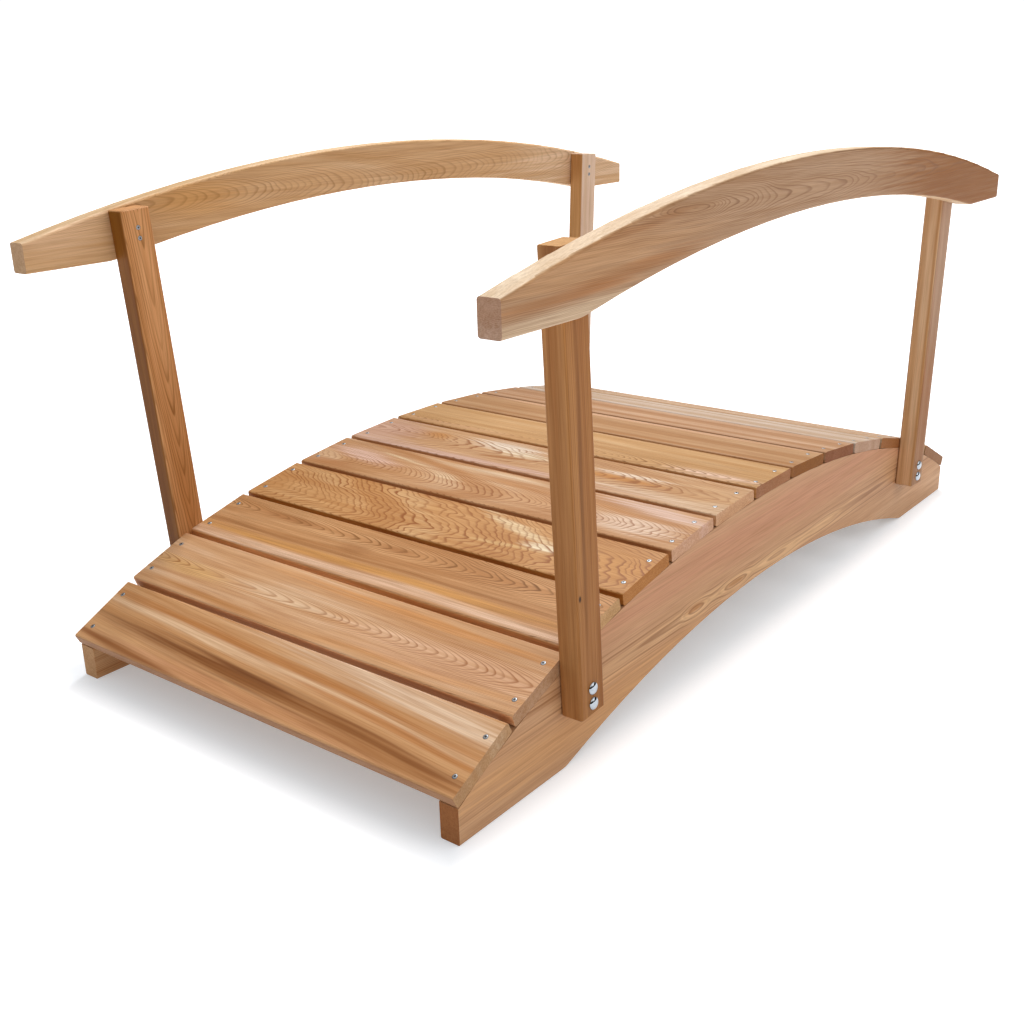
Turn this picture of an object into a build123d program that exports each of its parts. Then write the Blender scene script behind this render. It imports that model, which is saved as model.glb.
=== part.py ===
"""Arched garden bridge: two stringers, a deck of cross boards, four posts and two handrails."""

import os
from math import asin, atan2, cos, radians, sin

from build123d import *

# Driving dimensions, in millimetres and degrees.
# The bridge runs along X, stands on Z = 0 and is centred on the origin.

deck_width = 914

board_width = 142
board_thickness = 23
board_least_gap = 8
board_edge_radius = 4
board_seat_clearance = 0.1

stringer_length = 1885
stringer_thickness = 36
stringer_end_height = 61.5
stringer_rise = 208
stringer_crown_radius = 2550
stringer_shoulder_reach = 575
stringer_edge_radius = 2.5
stringer_toe_radius = 45
stringer_underside_rise = 106
foot_length = 259

post_width = 62
post_thickness = 40
post_length = 724
post_end_distance = 278
post_base_height = 100
post_lean = 3.4
post_edge_radius = 5
post_end_chamfer = 1.5

rail_thickness = 38
rail_end_inset = 32
rail_end_depth = 52
rail_post_overlap = 91
rail_rise = 109
rail_underside_rise = 73
rail_flat_length = 173
rail_kink_radius = 120
rail_edge_radius = 4.5

# Hands and ends of the bridge, each with its sign along Y and X.
hands = (("right", -1), ("left", 1))
ends = (("near", -1), ("far", 1))

os.makedirs("parts", exist_ok=True)


def save(piece, node):
    """Label a finished piece and write it under its node's name."""
    piece.part.label = node
    export_step(piece.part, f"parts/{node}.step")


# The deck curve is the stringers' top edge: a wide arc over the middle that runs,
# with no corner between, into a tighter arc down to each end.

deck_reach = stringer_length / 2
crown_height = stringer_end_height + stringer_rise
shoulder_angle = asin(stringer_shoulder_reach / stringer_crown_radius)
shoulder_height = crown_height - stringer_crown_radius * (1 - cos(shoulder_angle))
shoulder_travel = stringer_crown_radius * shoulder_angle
end_reach = deck_reach - stringer_shoulder_reach
end_angle = 2 * atan2(shoulder_height - stringer_end_height, end_reach) - shoulder_angle
end_radius = end_reach / (sin(end_angle) - sin(shoulder_angle))
deck_run = 2 * (shoulder_travel + end_radius * (end_angle - shoulder_angle))


def deck_seat(travel):
    """Give the plane that lies on the deck curve at a distance along it from the crown.

    The plane's x axis follows the curve and its y axis stands square to it.
    """
    side = -1 if travel < 0 else 1
    if abs(travel) <= shoulder_travel:
        angle = abs(travel) / stringer_crown_radius
        reach = stringer_crown_radius * sin(angle)
        height = crown_height - stringer_crown_radius * (1 - cos(angle))
    else:
        angle = shoulder_angle + (abs(travel) - shoulder_travel) / end_radius
        reach = stringer_shoulder_reach + end_radius * (sin(angle) - sin(shoulder_angle))
        height = shoulder_height - end_radius * (cos(shoulder_angle) - cos(angle))
    along = (cos(angle), 0, -side * sin(angle))
    return Plane(origin=(side * reach, 0, height), x_dir=along, z_dir=(0, -1, 0))


# Stringers: flat feet, an arched underside and the deck curve on top.

toe_reach = deck_reach - foot_length
stringer_offset = (deck_width - stringer_thickness) / 2

for hand, side in hands:
    with BuildPart() as stringer:
        with BuildSketch(Plane.XZ.offset(-side * stringer_offset)) as outline:
            with BuildLine():
                near_shoulder = (-stringer_shoulder_reach, shoulder_height)
                far_shoulder = (stringer_shoulder_reach, shoulder_height)
                near_top = (-deck_reach, stringer_end_height)
                far_top = (deck_reach, stringer_end_height)
                crown = ThreePointArc(near_shoulder, (0, crown_height), far_shoulder)
                TangentArc(far_shoulder, far_top, tangent=crown % 1)
                Polyline(far_top, (deck_reach, 0), (toe_reach, 0))
                ThreePointArc((toe_reach, 0), (0, stringer_underside_rise), (-toe_reach, 0))
                Polyline((-toe_reach, 0), (-deck_reach, 0), near_top)
                TangentArc(near_shoulder, near_top, tangent=-(crown % 0))
            make_face()
            toes = outline.vertices().group_by(Axis.Y)[0].sort_by(Axis.X)[1:-1]
            fillet(toes, stringer_toe_radius)
        extrude(amount=stringer_thickness / 2, both=True)
        side_edges = stringer.faces().filter_by(Axis.Y).edges()
        long_edges = side_edges.filter_by(Axis.Z, reverse=True)
        lower_edges = long_edges.filter_by(lambda edge: (edge @ 0).Z < stringer_end_height / 2)
        fillet(lower_edges, stringer_edge_radius)
    save(stringer, f"{hand}_stringer")


# Deck boards: as many as the deck curve holds, spread evenly from end to end. They lie across both
# stringers, flush with their outer faces, and each is square to the curve at its middle.

board_count = int((deck_run + board_least_gap) // (board_width + board_least_gap))
board_pitch = (deck_run - board_width) / (board_count - 1)

for number in range(board_count):
    travel = (number - (board_count - 1) / 2) * board_pitch
    with BuildPart() as board:
        with BuildSketch(deck_seat(travel)):
            with Locations((0, board_seat_clearance + board_thickness / 2)):
                RectangleRounded(board_width, board_thickness, board_edge_radius)
        extrude(amount=deck_width / 2, both=True)
    save(board, f"deck_board_{number + 1:02d}")


# Posts: bolted to the stringers' outer faces, each leaning towards its own end of the bridge.

post_offset = (deck_width + post_thickness) / 2
post_base_reach = deck_reach - post_end_distance
lean = radians(post_lean)

for end, way in ends:
    for hand, side in hands:
        foot = Plane(
            origin=(way * post_base_reach, side * post_offset, post_base_height),
            x_dir=(cos(lean), 0, -way * sin(lean)),
            z_dir=(way * sin(lean), 0, cos(lean)),
        )
        with BuildPart() as post:
            with BuildSketch(foot):
                RectangleRounded(post_width, post_thickness, post_edge_radius)
            extrude(amount=post_length)
            cuts = post.faces().sort_by(Axis.Z)
            chamfer(cuts[0].edges() + cuts[-1].edges(), post_end_chamfer)
        save(post, f"{end}_{hand}_post")


# Handrails: on the posts' outer faces, arched above and below between flat ends.

rail_reach = deck_reach - rail_end_inset
kink_reach = rail_reach - rail_flat_length
rail_flat_height = post_base_height + post_length * cos(lean) - rail_post_overlap
rail_end_height = rail_flat_height + rail_end_depth
rail_offset = deck_width / 2 + post_thickness + rail_thickness / 2

for hand, side in hands:
    with BuildPart() as rail:
        with BuildSketch(Plane.XZ.offset(-side * rail_offset)) as outline:
            with BuildLine():
                near_tip = (-rail_reach, rail_end_height)
                far_tip = (rail_reach, rail_end_height)
                near_kink = (-kink_reach, rail_flat_height)
                far_kink = (kink_reach, rail_flat_height)
                ThreePointArc(near_tip, (0, rail_end_height + rail_rise), far_tip)
                Polyline(far_tip, (rail_reach, rail_flat_height), far_kink)
                ThreePointArc(far_kink, (0, rail_flat_height + rail_underside_rise), near_kink)
                Polyline(near_kink, (-rail_reach, rail_flat_height), near_tip)
            make_face()
            kinks = outline.vertices().group_by(Axis.Y)[0].sort_by(Axis.X)[1:-1]
            fillet(kinks, rail_kink_radius)
        extrude(amount=rail_thickness / 2, both=True)
        side_edges = rail.faces().filter_by(Axis.Y).edges()
        fillet(side_edges.filter_by(Axis.Z, reverse=True), rail_edge_radius)
    save(rail, f"{hand}_handrail")
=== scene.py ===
"""Garden moon bridge in clear cedar: its finishes, fasteners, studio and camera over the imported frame."""

import logging
import math
from dataclasses import dataclass, field
from enum import Enum

import bpy
from mathutils import Matrix, Vector


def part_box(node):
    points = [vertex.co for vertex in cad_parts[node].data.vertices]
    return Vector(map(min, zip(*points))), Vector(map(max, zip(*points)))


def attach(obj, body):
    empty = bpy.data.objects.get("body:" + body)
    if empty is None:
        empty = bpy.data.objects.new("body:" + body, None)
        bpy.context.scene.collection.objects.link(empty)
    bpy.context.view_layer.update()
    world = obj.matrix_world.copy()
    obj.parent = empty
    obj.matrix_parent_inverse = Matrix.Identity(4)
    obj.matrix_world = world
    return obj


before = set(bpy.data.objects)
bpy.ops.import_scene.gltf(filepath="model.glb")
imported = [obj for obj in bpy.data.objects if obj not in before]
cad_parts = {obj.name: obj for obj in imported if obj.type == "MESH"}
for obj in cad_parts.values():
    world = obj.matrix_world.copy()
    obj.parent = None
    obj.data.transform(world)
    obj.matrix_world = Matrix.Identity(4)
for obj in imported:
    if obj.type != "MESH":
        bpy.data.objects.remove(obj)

log = logging.getLogger("moon_bridge")

Colour = tuple[float, float, float, float]
Shares = tuple[float, float, float]


def paint(code: str) -> Colour:
    """Turn a screen colour into the linear colour a shader works with.

    Args:
        code: Six hexadecimal digits, red first.

    Returns:
        The colour with full opacity.
    """
    shares = [int(code[place:place + 2], 16) / 255 for place in (0, 2, 4)]
    linear = [s / 12.92 if s <= 0.04045 else ((s + 0.055) / 1.055) ** 2.4 for s in shares]
    return (linear[0], linear[1], linear[2], 1.0)


class Wire:
    """A value on its way through a material, worked with like a number."""

    def __init__(self, tree: bpy.types.NodeTree, socket: bpy.types.NodeSocket) -> None:
        """Hold one output socket of a node tree."""
        self.tree = tree
        self.socket = socket

    def plug(self, target: bpy.types.NodeSocket) -> None:
        """Link this value to an input socket."""
        self.tree.links.new(self.socket, target)

    def math(self, operation: str, *terms: "Wire | float") -> "Wire":
        """Add one Math node.

        Args:
            operation: The Math node's operation.
            terms: Its inputs in order, wires or numbers.

        Returns:
            The node's result.
        """
        node = self.tree.nodes.new("ShaderNodeMath")
        node.operation = operation
        for place, term in zip(node.inputs, terms):
            if isinstance(term, Wire):
                term.plug(place)
            else:
                place.default_value = term
        return Wire(self.tree, node.outputs[0])

    def __add__(self, other: "Wire | float") -> "Wire":
        """Give the sum."""
        return self.math("ADD", self, other)

    def __radd__(self, other: float) -> "Wire":
        """Give the sum with a number on the left."""
        return self.math("ADD", other, self)

    def __sub__(self, other: "Wire | float") -> "Wire":
        """Give the difference."""
        return self.math("SUBTRACT", self, other)

    def __rsub__(self, other: float) -> "Wire":
        """Give the difference from a number on the left."""
        return self.math("SUBTRACT", other, self)

    def __mul__(self, other: "Wire | float") -> "Wire":
        """Give the product."""
        return self.math("MULTIPLY", self, other)

    def __rmul__(self, other: float) -> "Wire":
        """Give the product with a number on the left."""
        return self.math("MULTIPLY", other, self)

    def __truediv__(self, other: "Wire | float") -> "Wire":
        """Give the quotient."""
        return self.math("DIVIDE", self, other)

    def __pow__(self, other: float) -> "Wire":
        """Give the power."""
        return self.math("POWER", self, other)

    def root(self) -> "Wire":
        """Give the square root."""
        return self.math("SQRT", self)

    def part(self) -> "Wire":
        """Give the part after the point."""
        return self.math("FRACT", self)

    def whole(self) -> "Wire":
        """Give the whole part."""
        return self.math("FLOOR", self)

    def size(self) -> "Wire":
        """Give the value without its sign."""
        return self.math("ABSOLUTE", self)


class Recipe:
    """The nodes of one material, ending in one Principled shader."""

    def __init__(self, name: str) -> None:
        """Start an empty material of that name."""
        self.material = bpy.data.materials.new(name)
        self.material.use_nodes = True
        self.tree = self.material.node_tree
        self.tree.nodes.clear()

    @classmethod
    def over(cls, tree: bpy.types.NodeTree) -> "Recipe":
        """Start an empty recipe on a tree that is there already."""
        made = cls.__new__(cls)
        made.tree = tree
        tree.nodes.clear()
        return made

    def node(self, kind: str, settings: dict | None = None, sockets: dict | None = None,
             out: int | str = 0) -> Wire:
        """Add any node.

        Args:
            kind: The node's type.
            settings: Its own properties, set first.
            sockets: Values or wires by socket name or place.
            out: Which output to return.

        Returns:
            The chosen output.
        """
        made = self.tree.nodes.new(kind)
        for name, value in (settings or {}).items():
            setattr(made, name, value)
        for name, value in (sockets or {}).items():
            place = made.inputs[name]
            if isinstance(value, Wire):
                value.plug(place)
            else:
                place.default_value = value
        return Wire(self.tree, made.outputs[out])

    def stretched(self, vector: Wire, shares: Shares) -> Wire:
        """Scale a vector along each axis by its own share."""
        return self.node("ShaderNodeVectorMath", {"operation": "MULTIPLY"}, {0: vector, 1: shares})

    def cloud(self, vector: Wire, seed: float, detail: float = 2.0, rough: float = 0.5) -> Wire:
        """Add soft noise of unit size in the vector's own scale.

        Args:
            vector: Where to read it.
            seed: Which of the noise's patterns.
            detail: Its number of finer layers.
            rough: How strong the finer layers are.

        Returns:
            A value about one half.
        """
        sockets = {"Vector": vector, "W": seed, "Scale": 1.0, "Detail": detail, "Roughness": rough}
        return self.node("ShaderNodeTexNoise", {"noise_dimensions": "4D"}, sockets)

    def row(self, place: Wire, detail: float = 1.0) -> Wire:
        """Add soft noise along one number."""
        sockets = {"W": place, "Scale": 1.0, "Detail": detail}
        return self.node("ShaderNodeTexNoise", {"noise_dimensions": "1D"}, sockets)

    def ease(self, value: Wire, low: float, high: float) -> Wire:
        """Rise softly from nought at low to one at high."""
        sockets = {"Value": value, "From Min": low, "From Max": high, "To Min": 0.0, "To Max": 1.0}
        return self.node("ShaderNodeMapRange", {"interpolation_type": "SMOOTHSTEP"}, sockets)

    def blend(self, share: Wire | float, first: Wire | Colour, second: Wire | Colour,
              way: str = "MIX") -> Wire:
        """Mix two colours.

        Args:
            share: How much of the second shows.
            first: The colour below.
            second: The colour above.
            way: The Mix node's blend type.

        Returns:
            The mixed colour.
        """
        settings = {"data_type": "RGBA", "blend_type": way, "clamp_factor": True}
        return self.node("ShaderNodeMix", settings, {0: share, 6: first, 7: second}, 2)

    def finish(self, sockets: dict) -> bpy.types.Material:
        """Close the recipe with a Principled shader.

        Args:
            sockets: Values or wires for the shader's own sockets.

        Returns:
            The finished material.
        """
        shader = self.node("ShaderNodeBsdfPrincipled", None, sockets)
        shader.plug(self.tree.nodes.new("ShaderNodeOutputMaterial").inputs["Surface"])
        return self.material


class Tone(Enum):
    """The cedar's tones: early wood, deeper wood, late-wood line and pale flash."""

    HONEY = ("d6a778", "b57c46", "8f5020", "ebcca6")
    STRAW = ("cea372", "b38148", "80501e", "e6caa0")
    AMBER = ("c99562", "a56b36", "784a1c", "e1b786")
    TAN = ("c9a37e", "ac7f54", "7c4a22", "dcc0a0")

    @property
    def early(self) -> Colour:
        """The wood between the lines."""
        return paint(self.value[0])

    @property
    def deep(self) -> Colour:
        """The wood of the darker years."""
        return paint(self.value[1])

    @property
    def late(self) -> Colour:
        """The line that ends a year."""
        return paint(self.value[2])

    @property
    def flash(self) -> Colour:
        """The paler wood of a flash or sap band."""
        return paint(self.value[3])


@dataclass(frozen=True)
class Seat:
    """A piece's own axes: grain along x, width along y, thickness along z, in metres."""

    middle: Vector
    grain: Vector
    face: Vector

    @property
    def axes(self) -> Matrix:
        """The three axes as columns."""
        across = self.face.cross(self.grain)
        return Matrix((self.grain, across, self.face)).transposed()

    def point(self, along: float, across: float, up: float) -> Vector:
        """Give a place on the piece in the shared frame."""
        return self.middle + self.axes @ Vector((along, across, up))


@dataclass(frozen=True)
class Eye:
    """A dip in the log that closes its years into loops: where it lies along the piece, its reach and depth."""

    along: float
    reach: float
    dip: float


@dataclass(frozen=True)
class Wash:
    """A soft change of tone along the grain, placed in the piece's own axes.

    Attributes:
        along, across: Its middle.
        length, width: How far it reaches each way.
        colour: What it fades to.
        strength: How much of that colour shows.
        lean: How far it runs across for each metre along.
    """

    along: float
    across: float
    length: float
    width: float
    colour: str
    strength: float = 0.6
    lean: float = 0.0


@dataclass(frozen=True)
class Cedar:
    """Clear cedar sawn from one log, with lengths in metres.

    Attributes:
        tone: Its colours.
        seed: Which of the noise's patterns it shows.
        pith: Where the log's heart lies, across the piece and out of its face.
        taper: How far the years sink for each metre along the piece.
        slope: How far the grain runs across for each metre along.
        ring: The width of a year.
        ripple, wander: How far small waves and slow waves move a year.
        lines, bands, flash, streaks: How strongly each of these shows.
        calm: How far the lines fade away from the heart.
        point: The shape of a year, round at two and sharper below.
        tint: What multiplies the colour everywhere.
        end, edge: What multiplies it further on end grain and on the edge faces; the edge multiplier is painted
            light and shade, which makes the edge faces lighter or darker for how the light falls on them.
        knot: Where a small knot lies, if there is one.
        eyes: The dips that close years into loops.
        washes: The soft changes of tone.
        uneven: How unequal the years are.
        knot_colour: The knot's heart.
        gloss, relief: The surface's shine and the depth of its fibres.
    """

    tone: Tone
    seed: float
    pith: tuple[float, float] = (0.0, -0.05)
    taper: float = 0.05
    slope: float = 0.0
    ring: float = 0.0032
    ripple: float = 0.0025
    wander: float = 0.03
    lines: float = 0.6
    bands: float = 0.7
    flash: float = 0.3
    streaks: float = 0.35
    calm: float = 0.0
    point: float = 1.8
    tint: Shares = (1.0, 1.0, 1.0)
    end: Shares = (0.6, 0.6, 0.6)
    # The edge faces take painted shade unless a piece gives its own edge multiplier.
    edge: Shares = (0.78, 0.78, 0.78)
    knot: Shares | None = None
    eyes: tuple[Eye, ...] = ()
    washes: tuple[Wash, ...] = ()
    uneven: float = 2.2
    knot_colour: str = "2c190f"
    gloss: float = 0.16
    relief: float = 0.00035

    def material(self, name: str, seat: Seat) -> bpy.types.Material:
        """Make the finish for one piece.

        Args:
            name: The material's name.
            seat: The piece's own axes.

        Returns:
            The material.
        """
        mix = Recipe(name)
        place = mix.node("ShaderNodeTexCoord", None, None, "Object")
        turn = seat.axes.to_euler("XYZ")
        local = mix.node("ShaderNodeMapping", {"vector_type": "TEXTURE"},
                         {"Vector": place, "Location": seat.middle, "Rotation": turn})
        along, across, up = (mix.node("ShaderNodeSeparateXYZ", None, {"Vector": local}, axis) for axis in range(3))

        # How far each point lies from the log's heart.
        slow = mix.cloud(mix.stretched(local, (2.2, 7.0, 7.0)), self.seed, 1.0) - 0.5
        quick = mix.cloud(mix.stretched(local, (13.0, 46.0, 46.0)), self.seed + 7.0, 1.0) - 0.5
        flow = across - along * self.slope + slow * (self.wander * 0.6)
        grain = mix.node("ShaderNodeCombineXYZ", None, {0: along, 1: flow, 2: up})
        side = (flow - self.pith[0]).size()
        depth = up - self.pith[1] + along * self.taper + slow * self.wander
        for eye in self.eyes:
            near = 1.0 - mix.ease(((along - eye.along) / eye.reach).size(), 0.0, 1.0)
            depth = depth - near * eye.dip
        depth = depth.size()
        radius = (side ** self.point + depth ** self.point) ** (1.0 / self.point)
        radius = radius + quick * self.ripple
        if self.knot:
            squash = (1.0, 1.9, 1.9)
            gap = mix.stretched(local, squash)
            centre = tuple(share * place for share, place in zip(squash, self.knot))
            reach = mix.node("ShaderNodeVectorMath", {"operation": "DISTANCE"}, {0: gap, 1: centre}, "Value")
            swirl = 1.0 - mix.ease(reach, 0.004, 0.045)
            radius = radius + swirl * 0.006

        # The lines that end the years, and the patterns that follow the grain.
        years = radius / self.ring
        if self.uneven:
            years = years + mix.row(years * 0.13 + self.seed) * self.uneven
        share = years.part()
        line = mix.ease(share, 0.5, 0.86) * (1.0 - mix.ease(share, 0.88, 1.0)) + 0.08 * mix.ease(share, 0.1, 0.5)
        if not self.uneven:
            line = line + 0.3 * mix.ease(share, 0.2, 0.38) * (1.0 - mix.ease(share, 0.4, 0.52))
        count = {"W": years.whole() + self.seed}
        mark = mix.node("ShaderNodeTexWhiteNoise", {"noise_dimensions": "1D"}, count)
        faint = mix.ease(mix.cloud(mix.stretched(local, (3.0, 14.0, 14.0)), self.seed + 3.0, 1.0), 0.3, 0.6)
        line = line * (0.5 + 0.5 * mark) * (0.5 + 0.5 * faint)
        normal = mix.node("ShaderNodeTexCoord", None, None, "Normal")
        end = mix.ease(self.facing(mix, normal, seat.grain), 0.8, 0.98)
        edge = mix.ease(self.facing(mix, normal, seat.axes.col[1]), 0.6, 0.95)
        line = line * (1.0 - 0.75 * edge)
        if self.calm:
            line = line * (1.0 - self.calm * mix.ease(side / (depth + 0.012), 0.5, 1.4))
        tide = mix.row(years * 0.085 + (self.seed + 20.0), 2.0)
        fibre = mix.cloud(mix.stretched(grain, (9.0, 420.0, 420.0)), self.seed + 11.0, 2.0, 0.65)
        strand = mix.cloud(mix.stretched(grain, (4.0, 160.0, 160.0)), self.seed + 29.0, 1.0, 0.6)
        thread = mix.ease(strand, 0.3, 0.7)
        streak = mix.ease(mix.cloud(mix.stretched(grain, (1.6, 70.0, 70.0)), self.seed + 13.0, 1.0), 0.35, 0.7)
        patch = mix.ease(mix.cloud(mix.stretched(local, (4.5, 11.0, 11.0)), self.seed + 17.0, 1.0), 0.36, 0.62)

        # The colours, laid one over the other.
        wood = mix.blend(mix.ease(tide, 0.45, 0.68) * self.bands, self.tone.early, self.tone.deep)
        wood = mix.blend((1.0 - mix.ease(tide, 0.32, 0.5)) * patch * self.flash, wood, self.tone.flash)
        wood = mix.blend(streak * self.streaks, wood, self.tone.deep)
        plain = 1.0 - 0.8 * edge
        for wash in self.washes:
            run = along - wash.along
            drift = (across - wash.across - run * wash.lean + slow * 0.03) / wash.width
            run = run / wash.length
            rim = (run * run + drift * drift).root() + (strand - 0.5)
            wood = mix.blend((1.0 - mix.ease(rim, 0.2, 1.1)) * plain * wash.strength, wood, paint(wash.colour))
        wood = mix.blend(end * 0.7, wood, self.tone.early)
        wood = mix.blend(thread * 0.3, wood, self.tone.deep)
        wood = mix.blend(line * self.lines, wood, self.tone.late)
        wood = mix.blend((fibre - 0.4) * 1.1, wood, self.tone.late)
        # The tint, with painted light and shade on the edge faces from the edge multiplier, and the end grain's own
        # multiplier.
        dim = mix.blend(edge, self.tint + (1.0,), tuple(t * e for t, e in zip(self.tint, self.edge)) + (1.0,))
        dim = mix.blend(end, dim, tuple(t * e for t, e in zip(self.tint, self.end)) + (1.0,))
        wood = mix.blend(1.0, wood, dim, "MULTIPLY")
        if self.knot:
            heart = 1.0 - mix.ease(reach, 0.0024, 0.0075)
            wood = mix.blend(heart * 0.95, wood, paint(self.knot_colour))

        # The feel of the surface.
        height = mix.cloud(mix.stretched(local, (9.0, 420.0, 420.0)), self.seed + 11.0, 0.0)
        bump = mix.node("ShaderNodeBump", None, {"Strength": 0.25, "Distance": self.relief, "Height": height})
        rough = 0.46 + fibre * 0.14 - line * 0.06 + end * 0.18
        return mix.finish({"Base Color": wood, "Roughness": rough, "Normal": bump,
                           "Specular IOR Level": self.gloss})

    @staticmethod
    def facing(mix: Recipe, normal: Wire, axis: Vector) -> Wire:
        """Tell how squarely the surface faces along an axis, either way."""
        return mix.node("ShaderNodeVectorMath", {"operation": "DOT_PRODUCT"},
                        {0: normal, 1: tuple(axis)}, "Value").size()


@dataclass(frozen=True)
class Zinc:
    """Bright zinc plating on the bolts and screws."""

    colour: str = "c4c9ce"
    shade: str = "a4abb2"
    rough: float = 0.05

    def material(self, name: str) -> bpy.types.Material:
        """Make the plating.

        Args:
            name: The material's name.

        Returns:
            The material.
        """
        mix = Recipe(name)
        place = mix.node("ShaderNodeTexCoord", None, None, "Object")
        bloom = mix.cloud(mix.stretched(place, (260.0,) * 3), 2.0, 2.0)
        fine = mix.cloud(mix.stretched(place, (1500.0,) * 3), 5.0, 2.0)
        colour = mix.blend(mix.ease(bloom, 0.35, 0.7) * 0.5, paint(self.colour), paint(self.shade))
        rough = self.rough + bloom * 0.08
        bump = mix.node("ShaderNodeBump", None, {"Strength": 0.12, "Distance": 0.0001, "Height": fine})
        return mix.finish({"Base Color": colour, "Roughness": rough, "Metallic": 1.0, "Normal": bump})


@dataclass(frozen=True)
class RecessShade:
    """Painted shade: the dull near-black finish inside a drive recess and on the crushed rim of a countersink, where
    shade falls.
    """

    colour: str = "33302d"
    dust: str = "54483d"

    def material(self, name: str) -> bpy.types.Material:
        """Make the dull finish of painted shade.

        Args:
            name: The material's name.

        Returns:
            The material.
        """
        mix = Recipe(name)
        place = mix.node("ShaderNodeTexCoord", None, None, "Object")
        grit = mix.cloud(mix.stretched(place, (900.0,) * 3), 1.0, 2.0)
        colour = mix.blend(grit, paint(self.colour), paint(self.dust))
        return mix.finish({"Base Color": colour, "Roughness": 0.55 + grit * 0.3})


class Bench:
    """The work bench: the few hand tools that shape a piece in edit mode."""

    @staticmethod
    def clear() -> None:
        """Put every tool down and deselect everything."""
        if bpy.context.object and bpy.context.object.mode != "OBJECT":
            bpy.ops.object.mode_set(mode="OBJECT")
        bpy.ops.object.select_all(action="DESELECT")

    @staticmethod
    def turned(radius: float, depth: float, sides: int, base: float) -> bpy.types.Object:
        """Add a short cylinder on the bench.

        Args:
            radius: Its radius.
            depth: Its height.
            sides: The number of its sides.
            base: The height of its lower face.

        Returns:
            The new object, selected and active.
        """
        Bench.clear()
        bpy.ops.mesh.primitive_cylinder_add(vertices=sides, radius=radius, depth=depth,
                                            location=(0.0, 0.0, base + depth / 2))
        made = bpy.context.object
        bpy.ops.object.transform_apply(location=True, rotation=True, scale=True)
        return made

    @staticmethod
    def pick_top(piece: bpy.types.Object) -> None:
        """Select only the face that lies highest, in edit mode."""
        bpy.ops.object.mode_set(mode="OBJECT")
        mesh = piece.data
        for group in (mesh.vertices, mesh.edges, mesh.polygons):
            group.foreach_set("select", [False] * len(group))
        top = max(mesh.polygons, key=lambda face: (round(face.center.z, 6), face.normal.z))
        top.select = True
        bpy.ops.object.mode_set(mode="EDIT")
        bpy.ops.mesh.select_mode(type="FACE")

    @staticmethod
    def step(rise: float, size: float) -> None:
        """Draw the selected face out by a rise and resize it by a share."""
        bpy.ops.mesh.extrude_region_move(TRANSFORM_OT_translate={"value": (0.0, 0.0, rise)})
        bpy.ops.transform.resize(value=(size, size, 1.0))

    @staticmethod
    def smooth(piece: bpy.types.Object, angle: float = 34.0) -> None:
        """Leave edit mode and shade the piece smooth but for its corners."""
        bpy.ops.object.mode_set(mode="OBJECT")
        bpy.ops.object.shade_smooth_by_angle(angle=math.radians(angle))
        piece.select_set(False)

    @staticmethod
    def cut(piece: bpy.types.Object, cutter: bpy.types.Object) -> None:
        """Cut one piece out of another and throw the cutter away."""
        Bench.clear()
        bpy.context.view_layer.objects.active = piece
        piece.select_set(True)
        hole = piece.modifiers.new("recess", "BOOLEAN")
        hole.operation = "DIFFERENCE"
        hole.object = cutter
        bpy.ops.object.modifier_apply(modifier=hole.name)
        bpy.data.objects.remove(cutter)

    @staticmethod
    def place(pattern: bpy.types.Object, name: str, seats: list[Matrix]) -> bpy.types.Object:
        """Copy a pattern to several places and join the copies as one piece.

        Args:
            pattern: The piece modelled once, about the origin.
            name: The joined piece's name.
            seats: One placing for each copy.

        Returns:
            The joined piece, its place in its mesh.
        """
        Bench.clear()
        copies = []
        for seat in seats:
            copy = pattern.copy()
            copy.data = pattern.data.copy()
            copy.data.transform(seat)
            bpy.context.scene.collection.objects.link(copy)
            copy.select_set(True)
            copies.append(copy)
        bpy.context.view_layer.objects.active = copies[0]
        bpy.ops.object.join()
        joined = bpy.context.object
        joined.name = name
        joined.data.name = name
        joined.select_set(False)
        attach(joined, "root")
        return joined


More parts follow.
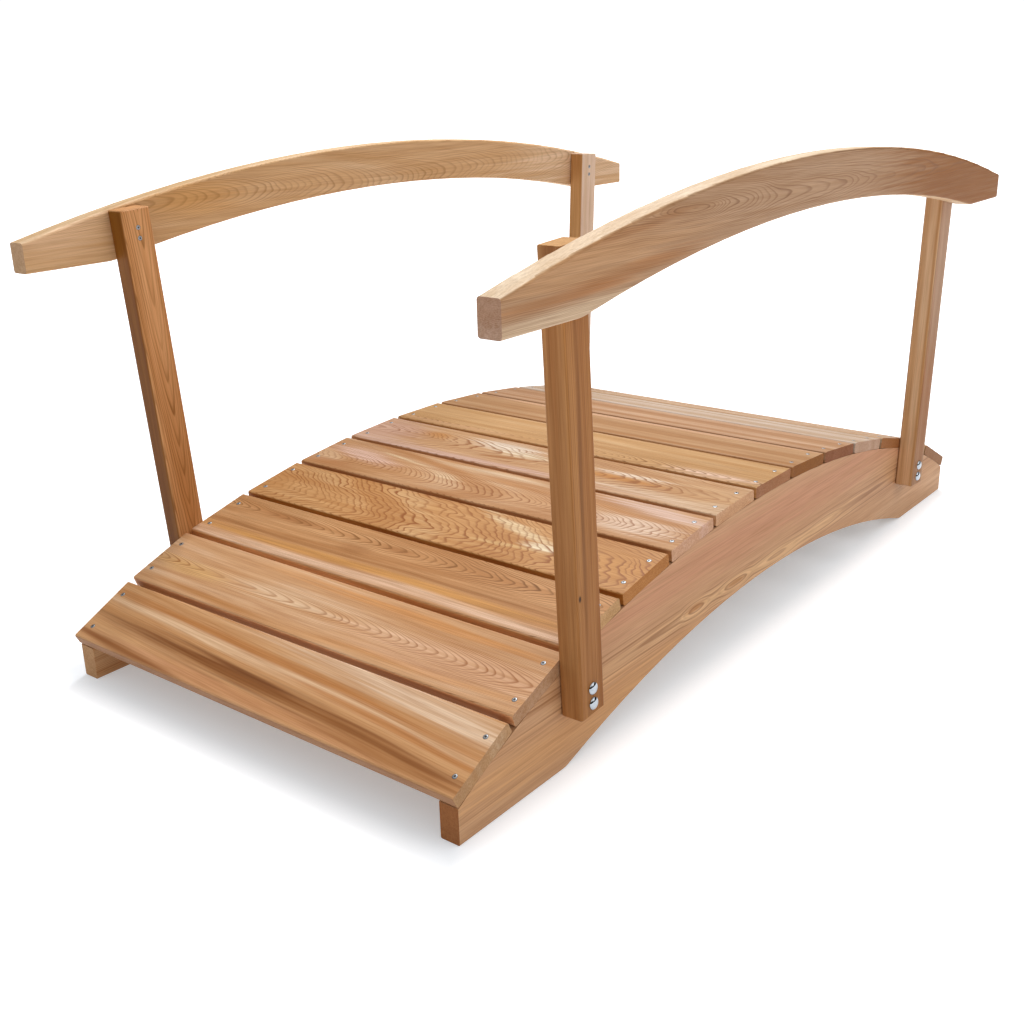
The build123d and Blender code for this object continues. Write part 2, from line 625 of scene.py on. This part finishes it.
@dataclass
class Fasteners:
    """The patterns for the screws, bolts and nuts, each modelled once."""

    screw_radius: float = 0.0040
    screw_height: float = 0.0008
    bolt_radius: float = 0.0106
    bolt_height: float = 0.0060
    nut_radius: float = 0.0083
    nut_height: float = 0.0065
    washer_radius: float = 0.0112
    washer_height: float = 0.0012
    tip_radius: float = 0.0039
    drive_radius: float = 0.0024
    sink: float = 0.0002
    zinc: Zinc = field(default_factory=Zinc)
    dull: Zinc = field(default_factory=lambda: Zinc("b0b4b8", "8e9398", 0.4))
    recess: RecessShade = field(default_factory=RecessShade)
    plating: bpy.types.Material = field(init=False)
    worn: bpy.types.Material = field(init=False)
    recess_shade: bpy.types.Material = field(init=False)
    screw: bpy.types.Object = field(init=False)
    bolt: bpy.types.Object = field(init=False)
    nut: bpy.types.Object = field(init=False)

    def build(self) -> None:
        """Model the patterns and keep them off the scene."""
        self.plating = self.zinc.material("zinc_plating")
        self.worn = self.dull.material("dull_zinc")
        self.recess_shade = self.recess.material("drive_recess_shade")
        self.screw = self.screw_pattern()
        self.bolt = self.bolt_pattern()
        self.nut = self.nut_pattern()

    def dress(self, piece: bpy.types.Object, plating: bpy.types.Material) -> None:
        """Give a pattern its plating, and its recess the dull finish of painted shade."""
        piece.data.materials.clear()
        piece.data.materials.append(plating)
        piece.data.materials.append(self.recess_shade)

    def screw_pattern(self) -> bpy.types.Object:
        """Model a countersunk screw's head with a square drive, its face along Z.

        Returns:
            The pattern.
        """
        head = Bench.turned(self.screw_radius, self.screw_height * 0.45, 28, -self.sink)
        Bench.pick_top(head)
        Bench.step(self.screw_height * 0.35, 0.9)
        Bench.step(self.screw_height * 0.2, 0.8)
        bpy.ops.object.mode_set(mode="OBJECT")
        drive = Bench.turned(self.drive_radius, 0.004, 4, 0.00005)
        Bench.cut(head, drive)
        rim = Bench.turned(self.screw_radius * 1.12, 0.00022, 28, -self.sink)
        Bench.pick_top(rim)
        Bench.step(0.00006, 0.96)
        bpy.ops.object.mode_set(mode="OBJECT")
        self.dress(head, self.worn)
        self.dress(rim, self.worn)
        # Painted shade: the thin ring round the head and the drive recess take the recess finish.
        for face in rim.data.polygons:
            face.material_index = 1
        for face in head.data.polygons:
            inner = Vector(face.center[:2]).length < 0.0022
            face.material_index = 1 if inner and face.center.z < self.screw_height * 0.7 else 0
        Bench.clear()
        rim.select_set(True)
        head.select_set(True)
        bpy.context.view_layer.objects.active = head
        bpy.ops.object.join()
        Bench.smooth(head, 28.0)
        return self.put_by(head, "screw_pattern")

    def bolt_pattern(self) -> bpy.types.Object:
        """Model a carriage bolt's domed head, its dome along Z.

        Returns:
            The pattern.
        """
        head = Bench.turned(self.bolt_radius, 0.0009, 40, -0.0003)
        Bench.pick_top(head)
        steps = 7
        last = 1.0
        height = 0.0
        for number in range(1, steps + 1):
            angle = math.radians(90.0 * number / (steps + 0.6))
            rise = (self.bolt_height - 0.0006) * math.sin(angle)
            Bench.step(rise - height, math.cos(angle) / last)
            height, last = rise, math.cos(angle)
        bpy.ops.mesh.bevel(offset=0.0004, segments=2, affect="EDGES")
        self.dress(head, self.plating)
        Bench.smooth(head, 50.0)
        return self.put_by(head, "bolt_pattern")

    def nut_pattern(self) -> bpy.types.Object:
        """Model a washer, a hexagon nut and the bolt's threaded tip, along Z.

        Returns:
            The pattern.
        """
        washer = Bench.turned(self.washer_radius, self.washer_height, 36, -self.sink)
        Bench.pick_top(washer)
        Bench.step(0.0003, 0.965)
        bpy.ops.object.mode_set(mode="OBJECT")
        nut = Bench.turned(self.nut_radius, self.nut_height * 0.8, 6, self.washer_height)
        Bench.pick_top(nut)
        Bench.step(self.nut_height * 0.12, 0.93)
        Bench.step(self.nut_height * 0.06, 0.86)
        bpy.ops.object.mode_set(mode="OBJECT")
        tip = Bench.turned(self.tip_radius, self.nut_height, 24, self.washer_height)
        Bench.pick_top(tip)
        for _ in range(4):
            Bench.step(0.00035, 0.9)
            Bench.step(0.0002, 1.0)
            Bench.step(0.00035, 1.0 / 0.9)
            Bench.step(0.0002, 1.0)
        Bench.step(0.0005, 0.82)
        bpy.ops.object.mode_set(mode="OBJECT")
        for piece in (washer, nut, tip):
            self.dress(piece, self.plating)
        Bench.clear()
        for piece in (washer, tip, nut):
            piece.select_set(True)
        bpy.context.view_layer.objects.active = nut
        bpy.ops.object.join()
        Bench.smooth(nut, 30.0)
        return self.put_by(nut, "nut_pattern")

    @staticmethod
    def put_by(pattern: bpy.types.Object, name: str) -> bpy.types.Object:
        """Name a pattern and take it out of the scene."""
        pattern.name = name
        for shelf in list(pattern.users_collection):
            shelf.objects.unlink(pattern)
        return pattern


def lie(point: Vector, face: Vector, spin: float = 0.0) -> Matrix:
    """Give the placing of a fastener on a surface.

    Args:
        point: Where its face's middle meets the surface.
        face: The surface's normal.
        spin: Its turn about that normal, in degrees.

    Returns:
        The placing.
    """
    turn = face.to_track_quat("Z", "Y").to_matrix().to_4x4()
    return Matrix.Translation(point) @ turn @ Matrix.Rotation(math.radians(spin), 4, "Z")


def middle(node: str) -> Vector:
    """Give the middle of a node's box."""
    low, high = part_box(node)
    return (low + high) / 2


def dress_node(node: str, finish: Cedar, seat: Seat) -> None:
    """Put a finish on a CAD node.

    Args:
        node: The node's name.
        finish: Its cedar.
        seat: Its own axes.
    """
    skin = finish.material(f"cedar_{node}", seat)
    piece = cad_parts[node]
    if not piece.material_slots:
        piece.data.materials.append(None)
    for place in piece.material_slots:
        place.link = "OBJECT"
        place.material = skin
    log.info("dressed %s in %s cedar", node, finish.tone.name.lower())


@dataclass
class Deck:
    """The cross boards and the screws that hold them down."""

    board_length: float = 0.914
    board_width: float = 0.142
    board_thickness: float = 0.023
    screw_end: float = 0.019
    screw_edge: float = 0.032
    screw_sway: float = 0.0022
    # The edge entries are painted light and shade on each board's front and back faces.
    woods: tuple[Cedar, ...] = (
        Cedar(
            Tone.HONEY, 1.3, pith=(0.21, -0.02), taper=0.0, slope=-0.055, ring=0.0034, ripple=0.0012, wander=0.02,
            lines=0.12, bands=0.3, flash=0.2, streaks=0.4, tint=(1.09, 1.09, 1.09), end=(0.73, 0.75, 0.77),
            edge=(0.63, 0.56, 0.58),
            washes=(
                Wash(-0.05, 0.026, 0.9, 0.012, "ad661f", 0.65, -0.054),
                Wash(-0.1, 0.014, 0.9, 0.013, "eac9a4", 0.7, -0.047),
                Wash(-0.1, -0.056, 0.5, 0.018, "bf835c", 0.6, -0.03),
                Wash(-0.06, -0.024, 0.5, 0.021, "6a3812", 0.95, -0.05),
                Wash(0.3, -0.011, 0.4, 0.009, "b36d28", 0.75, -0.055),
                Wash(0.26, -0.040, 0.3, 0.014, "7c4517", 0.7, -0.03),
                Wash(0.28, 0.050, 0.45, 0.030, "ecd0b2", 0.85, -0.05),
                Wash(0.3, -0.060, 0.25, 0.012, "8a5020", 0.7, -0.02),
                Wash(-0.34, -0.054, 0.22, 0.011, "7c441a", 0.85, -0.08))),
        Cedar(
            Tone.HONEY, 2.7, pith=(-0.005, -0.03), taper=0.06, slope=-0.01, ring=0.0012, ripple=0.0012, wander=0.012,
            lines=0.75, bands=0.35, flash=0.4, calm=0.35, point=1.9, tint=(1.15, 1.23, 1.4), end=(0.68, 0.66, 0.68),
            edge=(1.16, 0.97, 0.82),
            eyes=(Eye(-0.55, 0.6, -0.016),),
            washes=(
                Wash(0.22, 0.046, 0.45, 0.013, "cf8840", 0.7, -0.03),
                Wash(-0.25, -0.056, 0.28, 0.010, "b2763c", 0.7, -0.05),
                Wash(0.25, -0.055, 0.4, 0.010, "d08f4c", 0.6, 0.03),
                Wash(-0.36, -0.005, 0.15, 0.022, "d8a860", 0.55),
                Wash(-0.1, 0.0, 0.18, 0.03, "ecd0a8", 0.5),
                Wash(0.3, -0.02, 0.3, 0.05, "e0b08c", 0.4))),
        Cedar(
            Tone.AMBER, 3.1, pith=(0.036, -0.045), taper=0.055, ring=0.0014, ripple=0.0045, wander=0.014, lines=0.95,
            bands=0.4, flash=0.2, streaks=0.4, calm=0.25, tint=(1.13, 1.17, 1.27), end=(1.04, 1.19, 1.33),
            edge=(1.12, 1.19, 1.14),
            eyes=(Eye(-0.45, 0.3, -0.007),),
            washes=(
                Wash(0.0, -0.060, 0.9, 0.018, "e4bd9a", 0.95),
                Wash(0.0, -0.036, 0.8, 0.015, "d3974e", 0.75),
                Wash(0.05, -0.016, 0.7, 0.006, "905a2a", 0.6),
                Wash(-0.08, 0.008, 0.05, 0.02, "885226", 0.4),
                Wash(-0.27, 0.04, 0.1, 0.015, "8c5224", 0.5),
                Wash(0.0, 0.036, 0.06, 0.012, "8c5224", 0.45))),
        Cedar(
            Tone.HONEY, 4.9, pith=(-0.014, -0.25), taper=0.09, ring=0.0019, ripple=0.0065, lines=0.85, bands=0.5,
            flash=0.5, streaks=0.4, point=2.0, tint=(0.96, 0.93, 0.78), end=(0.84, 0.68, 0.52),
            edge=(0.68, 0.5, 0.24),
            washes=(
                Wash(0.17, 0.034, 0.14, 0.016, "f6e4c8", 0.7, -0.27),
                Wash(0.25, -0.002, 0.06, 0.018, "faeedc", 0.9),
                Wash(0.17, -0.024, 0.1, 0.007, "f0d4a4", 0.5, 0.1),
                Wash(-0.38, 0.02, 0.12, 0.03, "b87c44", 0.5),
                Wash(0.4, 0.0, 0.1, 0.06, "dca468", 0.4))),
        Cedar(
            Tone.HONEY, 5.3, pith=(-0.02, -0.14), taper=0.08, ring=0.0012, ripple=0.0036, wander=0.02, lines=0.75,
            bands=0.5, flash=0.5, calm=0.1, point=1.9, tint=(0.93, 0.955, 1.0), end=(1.11, 1.13, 1.43),
            edge=(0.98, 0.85, 0.74),
            washes=(
                Wash(-0.345, 0.012, 0.13, 0.034, "eec8b2", 0.95, -0.13),
                Wash(-0.25, 0.033, 0.1, 0.005, "f0d6ac", 0.8, -0.14),
                Wash(-0.42, -0.05, 0.1, 0.02, "b87a48", 0.6),
                Wash(-0.11, 0.0, 0.05, 0.016, "eed2a8", 0.6),
                Wash(-0.02, 0.054, 0.2, 0.014, "f4dab4", 0.85),
                Wash(0.0, 0.03, 0.25, 0.010, "c08448", 0.5, -0.05),
                Wash(0.36, 0.048, 0.16, 0.026, "ecccb8", 0.9, -0.1),
                Wash(0.3, 0.02, 0.14, 0.010, "c98c50", 0.6, -0.2),
                Wash(0.34, -0.022, 0.13, 0.04, "f0d4b8", 0.9))),
        Cedar(
            Tone.HONEY, 6.1, pith=(0.0, -0.12), taper=0.07, ring=0.0020, ripple=0.007, lines=0.85, bands=0.5,
            flash=0.6, point=1.9, tint=(0.915, 0.99, 1.09), end=(1.12, 1.05, 1.1), edge=(0.98, 0.85, 0.74),
            washes=(
                Wash(-0.42, 0.0, 0.16, 0.09, "d8ac94", 0.8),
                Wash(-0.28, 0.022, 0.05, 0.026, "c88848", 0.8),
                Wash(-0.2, -0.06, 0.6, 0.020, "e0b8a2", 0.85),
                Wash(-0.1, 0.034, 0.12, 0.032, "f2dcc0", 0.95),
                Wash(-0.04, 0.01, 0.1, 0.020, "f0dcb8", 0.6),
                Wash(-0.06, -0.018, 0.09, 0.009, "a0622c", 0.8, 0.15),
                Wash(0.22, 0.018, 0.12, 0.012, "f4dabc", 0.9),
                Wash(0.2, -0.006, 0.16, 0.015, "c8843e", 0.9),
                Wash(0.26, -0.045, 0.2, 0.02, "ecceac", 0.6),
                Wash(0.4, 0.0, 0.1, 0.06, "d5a878", 0.5))),
        Cedar(
            Tone.STRAW, 7.7, pith=(-0.05, -0.04), taper=0.06, ring=0.0014, ripple=0.0030, wander=0.015, lines=0.9,
            bands=0.3, flash=0.2, streaks=0.4, calm=0.6, tint=(1.01, 1.04, 1.1), end=(0.66, 0.48, 0.46),
            edge=(0.98, 0.85, 0.74),
            washes=(
                Wash(-0.3, -0.055, 0.35, 0.014, "dcae8c", 0.4),
                Wash(0.36, -0.048, 0.14, 0.022, "e8c6ac", 0.85))),
        Cedar(
            Tone.TAN, 8.9, pith=(0.16, -0.04), taper=0.01, ring=0.0026, ripple=0.0015, wander=0.02, lines=0.5,
            bands=0.6, streaks=0.45, tint=(0.93, 0.88, 0.8), end=(0.56, 0.35, 0.13), edge=(0.98, 0.85, 0.74),
            washes=(
                Wash(0.0, 0.062, 0.6, 0.014, "e6c0a4", 0.9),
                Wash(0.2, -0.062, 0.5, 0.010, "b07a48", 0.6))),
        Cedar(
            Tone.TAN, 9.3, pith=(0.20, -0.02), taper=0.01, ring=0.0030, ripple=0.0015, wander=0.02, lines=0.5,
            bands=0.9, flash=0.5, streaks=0.5, tint=(1.0, 0.99, 1.06), end=(0.51, 0.31, 0.21)),
        Cedar(
            Tone.TAN, 10.1, pith=(-0.18, -0.02), taper=0.02, ring=0.0030, ripple=0.0015, wander=0.02, lines=0.4,
            flash=0.6, streaks=0.45, tint=(1.08, 1.36, 1.89), end=(0.89, 0.72, 0.63)),
        Cedar(
            Tone.TAN, 11.9, pith=(0.02, -0.03), ring=0.0016, ripple=0.0030, wander=0.02, bands=0.5, calm=0.5,
            tint=(1.05, 1.15, 1.3), end=(0.62, 0.36, 0.18)),
        Cedar(
            Tone.HONEY, 12.7, pith=(0.0, -0.03), taper=-0.05, ring=0.0016, ripple=0.0030, wander=0.02, bands=0.5,
            calm=0.5, tint=(0.94, 0.97, 1.05), end=(1.05, 1.09, 0.88)),
        Cedar(
            Tone.TAN, 13.3, pith=(-0.2, -0.03), taper=0.02, ring=0.0030, ripple=0.0020, wander=0.02, lines=0.4,
            bands=0.8, end=(0.65, 0.53, 0.47)),
    )

    def seat(self, node: str) -> Seat:
        """Read a board's tilt from its own faces.

        Args:
            node: The board's name.

        Returns:
            The board's axes, its grain towards the right hand and its face up.
        """
        upward = [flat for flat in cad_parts[node].data.polygons if flat.normal.z > 0.5]
        face = max(upward, key=lambda flat: flat.area).normal
        return Seat(middle(node), Vector((0.0, -1.0, 0.0)), Vector((face.x, 0.0, face.z)).normalized())

    def build(self, fasteners: Fasteners) -> None:
        """Drive four screws into each board.

        Args:
            fasteners: The screw's pattern.
        """
        reach = self.board_length / 2 - self.screw_end
        edge = self.board_width / 2 - self.screw_edge
        for number in range(1, len(self.woods) + 1):
            node = f"deck_board_{number:02d}"
            seat = self.seat(node)
            seats = []
            for place, (way, side) in enumerate(((-1, -1), (-1, 1), (1, -1), (1, 1))):
                sway = self.screw_sway * math.sin(number * 2.3 + place * 1.7)
                point = seat.point(way * reach + sway, side * edge - sway, self.board_thickness / 2)
                seats.append(lie(point, seat.face, number * 37.0 + place * 61.0))
            Bench.place(fasteners.screw, f"{node}_screws", seats)
            log.info("drove %d screws into %s", len(seats), node)

    def dress(self) -> None:
        """Give each board its own cedar."""
        for number, wood in enumerate(self.woods, 1):
            node = f"deck_board_{number:02d}"
            dress_node(node, wood, self.seat(node))


@dataclass
class Posts:
    """The four posts, their bolts to the stringers and their screws to the rails."""

    lean: float = 3.4
    length: float = 0.724
    thickness: float = 0.040
    stringer_thickness: float = 0.036
    bolt_rises: tuple[float, float] = (0.0193, 0.0458)
    screw_drops: tuple[float, float] = (0.033, 0.052)
    post_turn: float = 47.0
    nut_turn: float = 18000.0
    screw_turn: float = 2000.0
    # The edge entries are painted light and shade on each post's two sides.
    woods: dict[str, Cedar] = field(default_factory=lambda: {
        "near_right_post": Cedar(
            Tone.AMBER, 21.3, pith=(0.09, -0.02), taper=0.01, ring=0.0030, ripple=0.0008, wander=0.01, lines=0.5,
            flash=0.2, streaks=0.6, tint=(0.8, 0.68, 0.5), end=(1.6, 2.0, 2.5), edge=(1.05, 1.1, 1.28),
            knot=(-0.155, 0.022, 0.02),
            washes=(
                Wash(0.0, 0.008, 0.6, 0.006, "74441a", 0.6),
                Wash(0.0, -0.018, 0.6, 0.012, "cf9a64", 0.6),
                Wash(0.1, 0.024, 0.5, 0.008, "d2a06a", 0.5))),
        "near_left_post": Cedar(
            Tone.AMBER, 22.9, pith=(0.005, 0.022), taper=0.035, ring=0.0024, ripple=0.0014, wander=0.010, lines=0.8,
            bands=0.5, flash=0.2, streaks=0.45, calm=0.1, point=1.7, tint=(1.3, 1.3, 1.38), end=(1.0, 1.0, 1.0),
            # Its edge entry paints shade on the post's two sides.
            edge=(0.36, 0.26, 0.07)),
        "far_right_post": Cedar(
            Tone.TAN, 23.1, pith=(0.07, -0.05), taper=0.004, ring=0.0011, ripple=0.0006, wander=0.004, lines=0.2,
            bands=1.0, flash=0.9, streaks=0.5, tint=(0.75, 0.68, 0.64), edge=(1.68, 1.82, 1.86),
            washes=(
                Wash(0.0, 0.026, 0.6, 0.008, "b3743c", 0.6),
                Wash(-0.2, 0.0, 0.25, 0.06, "b9783c", 0.7),
                Wash(0.2, 0.0, 0.25, 0.06, "d8b69a", 0.6))),
        "far_left_post": Cedar(
            Tone.TAN, 24.7, pith=(0.09, 0.0), taper=0.01, ring=0.0030, ripple=0.0010, wander=0.01, lines=0.4,
            bands=0.6, flash=0.5, tint=(1.4, 1.7, 2.3), edge=(0.68, 0.44, 0.2)),
    })

    def seat(self, node: str) -> Seat:
        """Give a post's axes, its grain up and its face outwards."""
        way = 1.0 if node.startswith("far") else -1.0
        side = 1.0 if "left" in node else -1.0
        lean = math.radians(self.lean)
        grain = Vector((way * math.sin(lean), 0.0, math.cos(lean)))
        return Seat(middle(node), grain, Vector((0.0, side, 0.0)))

    def build(self, fasteners: Fasteners) -> None:
        """Bolt each post at its foot and screw it to its rail at its head.

        Args:
            fasteners: The patterns of the bolt, nut and screw.
        """
        half = self.length / 2
        outer = self.thickness / 2
        inner = -outer - self.stringer_thickness
        for number, node in enumerate(self.woods):
            seat = self.seat(node)
            spin = number * self.post_turn
            heads = [lie(seat.point(rise - half, 0.0, outer), seat.face, spin) for rise in self.bolt_rises]
            nuts = [lie(seat.point(rise - half, 0.0, inner), -seat.face, spin + self.nut_turn * rise)
                    for rise in self.bolt_rises]
            screws = [lie(seat.point(half - drop, 0.0, -outer), -seat.face, spin + self.screw_turn * drop)
                      for drop in self.screw_drops]
            Bench.place(fasteners.bolt, f"{node}_bolts", heads)
            Bench.place(fasteners.nut, f"{node}_nuts", nuts)
            Bench.place(fasteners.screw, f"{node}_screws", screws)
            log.info("bolted and screwed %s", node)

    def dress(self) -> None:
        """Give each post its own cedar."""
        for node, wood in self.woods.items():
            dress_node(node, wood, self.seat(node))


@dataclass
class Sides:
    """The long pieces at each hand: the arched stringers and the arched handrails."""

    # The edge entries are painted light and shade on the top and underside of each long piece.
    woods: dict[str, Cedar] = field(default_factory=lambda: {
        "right_stringer": Cedar(
            Tone.TAN, 31.3, pith=(-0.0095, 0.001), taper=0.0, ring=0.008, ripple=0.0014, wander=0.002, lines=0.9,
            bands=0.2, flash=0.1, streaks=0.3, calm=0.9, point=1.9, tint=(1.12, 1.03, 0.98), end=(0.6, 0.4, 0.24),
            uneven=0.0,
            eyes=(
                Eye(0.03, 0.8, 0.006), Eye(-0.285, 0.06, 0.009), Eye(-0.139, 0.075, 0.011), Eye(0.03, 0.11, 0.005),
                Eye(0.25, 0.1, 0.004)),
            washes=(
                Wash(0.1, 0.075, 1.3, 0.06, "be8a6a", 0.8),
                Wash(-0.6, -0.07, 0.6, 0.06, "d2a068", 0.6),
                Wash(-0.1, -0.012, 0.7, 0.024, "e0bb8c", 0.75),
                Wash(-0.285, -0.0095, 0.045, 0.009, "a86e34", 0.75),
                Wash(-0.139, -0.0095, 0.045, 0.009, "a8743c", 0.7))),
        "left_stringer": Cedar(
            Tone.HONEY, 32.9, pith=(0.02, -0.07), taper=0.015, ring=0.0030, ripple=0.0030, wander=0.02, lines=0.5,
            bands=0.6, flash=0.2, end=(0.9, 0.9, 0.9)),
        "right_handrail": Cedar(
            Tone.TAN, 33.1, pith=(0.026, -0.020), taper=0.034, slope=-0.012, ring=0.0021, ripple=0.0040,
            wander=0.014, bands=0.45, flash=0.2, streaks=0.5, calm=0.3, tint=(0.81, 0.79, 0.79),
            # Its edge entry paints a highlight on the rail's top and underside.
            end=(0.98, 0.98, 1.16), edge=(1.85, 2.4, 3.0),
            eyes=(
                Eye(-0.44, 0.2, 0.016), Eye(-0.28, 0.09, 0.005)),
            washes=(
                Wash(-0.75, 0.0, 0.4, 0.06, "dca874", 0.7),
                Wash(-0.8, -0.046, 0.2, 0.012, "b87438", 0.5, 0.05),
                Wash(-0.6, -0.031, 0.25, 0.014, "b87438", 0.55, 0.09),
                Wash(-0.78, -0.070, 0.3, 0.016, "f2d6b2", 0.9, 0.04),
                Wash(-0.6, 0.02, 0.2, 0.008, "a9703e", 0.6, 0.1),
                Wash(-0.05, 0.02, 0.35, 0.03, "d8b490", 0.4),
                Wash(0.68, -0.02, 0.62, 0.2, "9c5c0e", 0.95))),
        "left_handrail": Cedar(
            Tone.STRAW, 34.7, pith=(-0.010, 0.08), taper=-0.06, ring=0.0014, ripple=0.0028, wander=0.015, lines=0.45,
            bands=0.3, flash=0.2, streaks=0.4, calm=0.4, point=1.9, tint=(1.15, 1.23, 1.45), end=(0.7, 0.7, 0.75),
            edge=(1.15, 1.3, 1.5),
            washes=(
                Wash(-0.85, 0.0, 0.14, 0.09, "d8ae82", 0.7),
                Wash(0.75, 0.0, 0.4, 0.1, "e6caa6", 0.4),
                Wash(-0.55, -0.01, 0.16, 0.04, "c48a46", 0.6))),
    })

    def seat(self, node: str) -> Seat:
        """Give a long piece's axes, its grain along the bridge and its face outwards."""
        side = 1.0 if node.startswith("left") else -1.0
        return Seat(middle(node), Vector((1.0, 0.0, 0.0)), Vector((0.0, side, 0.0)))

    def dress(self) -> None:
        """Give each long piece its own cedar."""
        for node, wood in self.woods.items():
            dress_node(node, wood, self.seat(node))


@dataclass
class Studio:
    """A white floor lit partly by its own painted glow, soft light and the camera."""

    floor_size: float = 60.0
    backdrop: float = 1.06
    low_light: float = 0.26
    high_light: float = 1.0
    bright_way: tuple[float, float, float] = (0.35, -0.45, 0.82)
    camera_place: tuple[float, float, float] = (-2.0427, -1.4487, 1.0427)
    camera_turn: tuple[float, float, float] = (70.0113, 1.4802, -51.8840)
    lens: float = 43.07

    def build(self) -> None:
        """Lay the floor, hang the lights and set the camera."""
        Bench.clear()
        bpy.ops.mesh.primitive_plane_add(size=self.floor_size, location=(0.0, 0.0, -0.0004))
        floor = bpy.context.object
        floor.name = "studio_floor"
        bpy.ops.object.transform_apply(location=True, rotation=True, scale=True)
        floor.data.materials.append(self.floor_finish())
        self.lamp("key_light", (1.6, 0.9, 3.4), 1.5, 95.0, (0.0, 0.0, 0.3))
        self.lamp("side_light", (0.4, -3.6, 2.4), 2.4, 18.0, (0.0, 0.0, 0.4))
        self.hang_sky()
        bpy.ops.object.camera_add(location=self.camera_place,
                                  rotation=[math.radians(turn) for turn in self.camera_turn])
        camera = bpy.context.object
        camera.name = "camera"
        camera.data.lens = self.lens
        camera.data.sensor_width = 36.0
        camera.data.clip_start = 0.05
        bpy.context.scene.camera = camera
        bpy.context.scene.view_settings.view_transform = "Standard"
        log.info("set the floor, lights and camera")

    def hang_sky(self) -> None:
        """Light the studio from all round, more from above and from the right hand, before a white backdrop."""
        world = bpy.data.worlds.new("studio")
        bpy.context.scene.world = world
        world.use_nodes = True
        mix = Recipe.over(world.node_tree)
        way = mix.node("ShaderNodeTexCoord", None, None, "Generated")
        up = mix.node("ShaderNodeVectorMath", {"operation": "DOT_PRODUCT"}, {0: way, 1: self.bright_way}, "Value")
        level = self.low_light + (self.high_light - self.low_light) * mix.ease(up, -0.6, 0.95)
        tall = mix.node("ShaderNodeSeparateXYZ", None, {"Vector": way}, 2)
        level = level * (1.0 - 0.85 * (1.0 - mix.ease((tall - 0.16).size(), 0.16, 0.42)))
        shine = mix.node("ShaderNodeLightPath", None, None, "Is Glossy Ray")
        level = level * (1.0 - 0.9 * shine * (1.0 - mix.ease((tall - 0.26).size(), 0.24, 0.4)))
        seen = mix.node("ShaderNodeLightPath", None, None, "Is Camera Ray")
        level = level + seen * (self.backdrop - level)
        sky = mix.node("ShaderNodeBackground", None, {"Color": (1.0, 1.0, 1.0, 1.0), "Strength": level})
        sky.plug(mix.tree.nodes.new("ShaderNodeOutputWorld").inputs["Surface"])

    @staticmethod
    def lamp(name: str, place: tuple[float, float, float], size: float, power: float,
             aim: tuple[float, float, float]) -> None:
        """Hang one soft square light.

        Args:
            name: The light's name.
            place: Where it hangs.
            size: The length of its side.
            power: Its power in watts.
            aim: The point it faces.
        """
        way = Vector(aim) - Vector(place)
        bpy.ops.object.light_add(type="AREA", location=place, rotation=way.to_track_quat("-Z", "Y").to_euler())
        lamp = bpy.context.object
        lamp.name = name
        lamp.data.shape = "SQUARE"
        lamp.data.size = size
        lamp.data.energy = power

    @staticmethod
    def floor_finish() -> bpy.types.Material:
        """Make the floor's matt white, with painted light: a faint cool glow near the bridge that lightens its
        shadows and offsets the warm light the wood throws on them, rising to white away from the bridge, and for the
        camera a white glow outside a box about the bridge, where the shadow is cut off and the floor fades into the
        backdrop.
        """
        mix = Recipe("studio_white")
        place = mix.node("ShaderNodeTexCoord", None, None, "Object")
        soft = mix.cloud(mix.stretched(place, (0.7,) * 3), 1.0, 1.0)
        # A faintly cool white, which offsets the warm light the wood throws on the floor.
        colour = mix.blend(soft, paint("e2e4e8"), paint("e4e6ea"))
        # Painted light: the floor glows, faint and cool by the bridge, white further away.
        reach = mix.node("ShaderNodeVectorMath", {"operation": "LENGTH"}, {0: place}, "Value")
        painted_floor_light = mix.blend(mix.ease(reach, 1.6, 4.0), (0.272, 0.302, 0.318, 1.0), (1.06, 1.06, 1.06, 1.0))
        # Painted light for the camera only: outside a box about the bridge the floor glows white, which cuts its
        # shadow off there.
        gaps = [(mix.node("ShaderNodeSeparateXYZ", None, {"Vector": place}, axis) - centre).size() - half
                for axis, centre, half in ((0, -0.01, 0.955), (1, 0.03, 0.485))]
        gap = mix.node("ShaderNodeMath", {"operation": "MAXIMUM"}, dict(enumerate(gaps)))
        seen = mix.node("ShaderNodeLightPath", None, None, "Is Camera Ray")
        painted_floor_light = mix.blend(mix.ease(gap, -0.02, 0.06) * seen, painted_floor_light, (0.56, 0.56, 0.56, 1.0), "LIGHTEN")
        return mix.finish({"Base Color": colour, "Roughness": 0.9, "Specular IOR Level": 0.0,
                           "Emission Color": painted_floor_light, "Emission Strength": 1.0})


def main() -> None:
    """Dress the frame, fit the fasteners and set the studio."""
    logging.basicConfig(level=logging.INFO, format="%(name)s: %(message)s")
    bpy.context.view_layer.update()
    fasteners = Fasteners()
    fasteners.build()
    deck, posts, sides = Deck(), Posts(), Sides()
    deck.build(fasteners)
    posts.build(fasteners)
    deck.dress()
    posts.dress()
    sides.dress()
    for pattern in (fasteners.screw, fasteners.bolt, fasteners.nut):
        bpy.data.objects.remove(pattern)
    Studio().build()
    bpy.context.view_layer.update()


if __name__ == "__main__":
    main()
